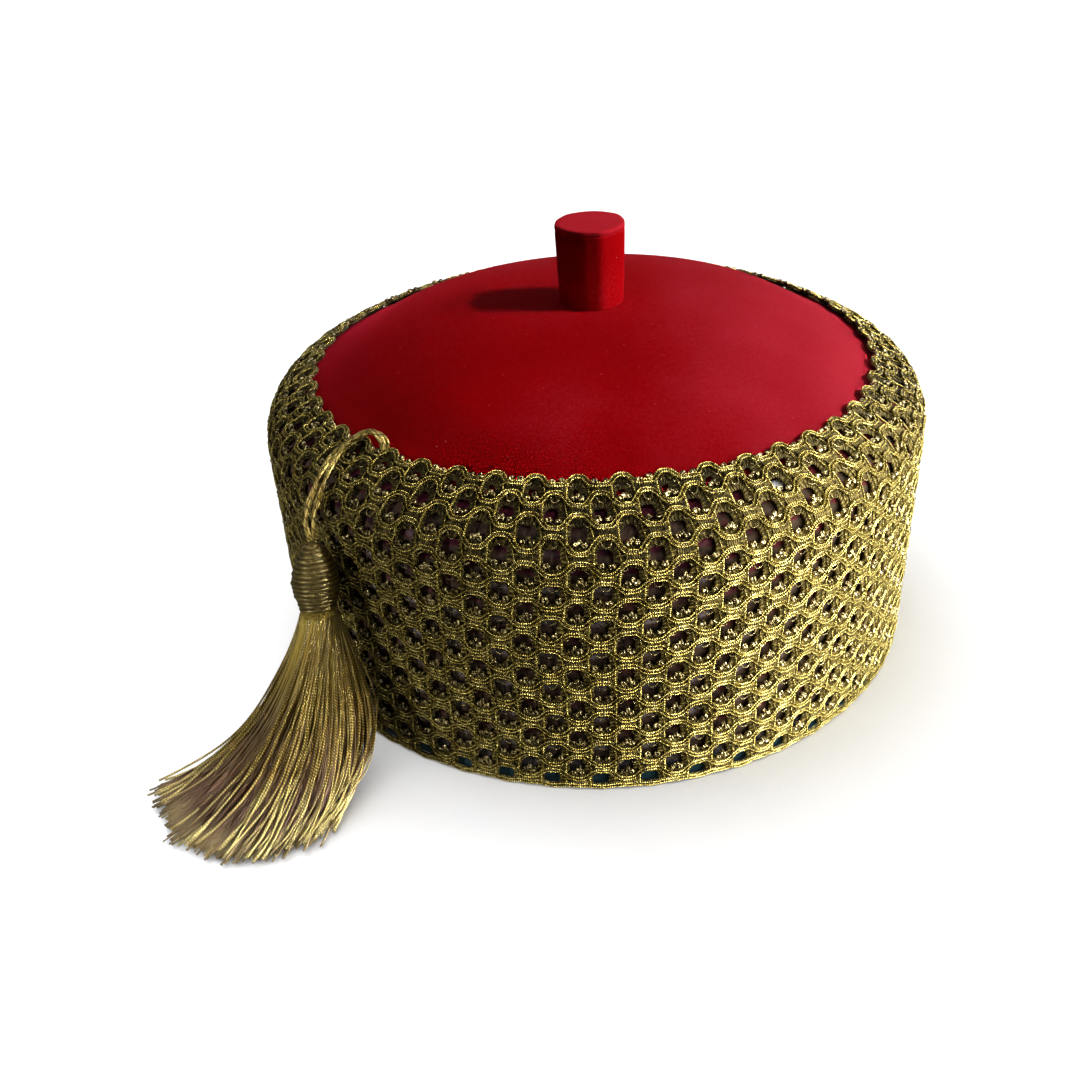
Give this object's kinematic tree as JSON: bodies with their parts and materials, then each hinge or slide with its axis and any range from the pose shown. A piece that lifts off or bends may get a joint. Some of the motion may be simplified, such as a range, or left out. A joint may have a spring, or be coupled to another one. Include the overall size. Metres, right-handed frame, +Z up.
{
  "type": "velvet pillbox cap with gold lace and tassel",
  "caption": "Stiff round pillbox cap with a domed velvet crown, a sleeve of openwork gold lace on its side, a velvet button on top and a corded gold tassel.",
  "frame": {"origin": "middle of the rim, on the surface that the cap stands on", "axes": "+Z up through the crown's button, -Y to the front, +X to the right as seen from the front"},
  "size_m": [0.2244, 0.2259, 0.1253],
  "materials": {
    "velvet": "short red pile with a soft sheen",
    "binding": "dark blue-green woven tape",
    "lace": "wrapped metallic gold cord, bright and ribbed",
    "tassel": "smooth shiny gold rayon thread"
  },
  "bodies": {
    "root": {"crown_top": "velvet", "side_wall": "velvet", "rim_binding": "binding", "gold_lace": "lace", "button_stem": "velvet", "button_top": "velvet", "tassel_cord": "tassel", "tassel_head": "tassel", "tassel_skirt": "tassel"}
  },
  "joints": []
}
